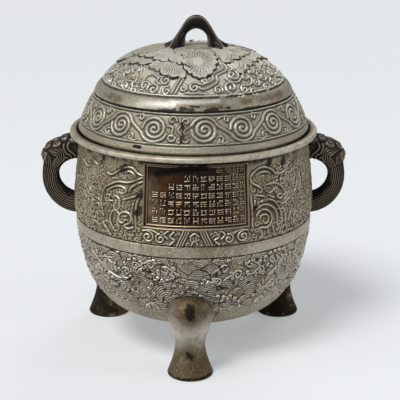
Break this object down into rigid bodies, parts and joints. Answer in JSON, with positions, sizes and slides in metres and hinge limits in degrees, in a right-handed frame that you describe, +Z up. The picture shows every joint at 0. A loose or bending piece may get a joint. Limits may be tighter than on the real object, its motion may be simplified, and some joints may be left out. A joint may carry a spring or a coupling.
{
  "type": "lidded tripod incense burner",
  "caption": "Round lidded bronze incense burner on legs, with beast handles, an inscribed panel, scroll-carved bands and an arched branch grip on its lid.",
  "frame": {"origin": "the ground under the axis of the bowl, between the feet", "axes": "+Z up, -Y towards the inscribed panel and the front foot, +X towards the handle on the right as the panel is read"},
  "size_m": [0.3042, 0.2503, 0.3313],
  "materials": {
    "bowl": "cast bronze with a grey-brown patina, browner on the handles and the panel",
    "lid": "cast bronze with a grey-green patina"
  },
  "bodies": {
    "root": {"bowl": "bowl", "lid": "lid"}
  },
  "joints": []
}
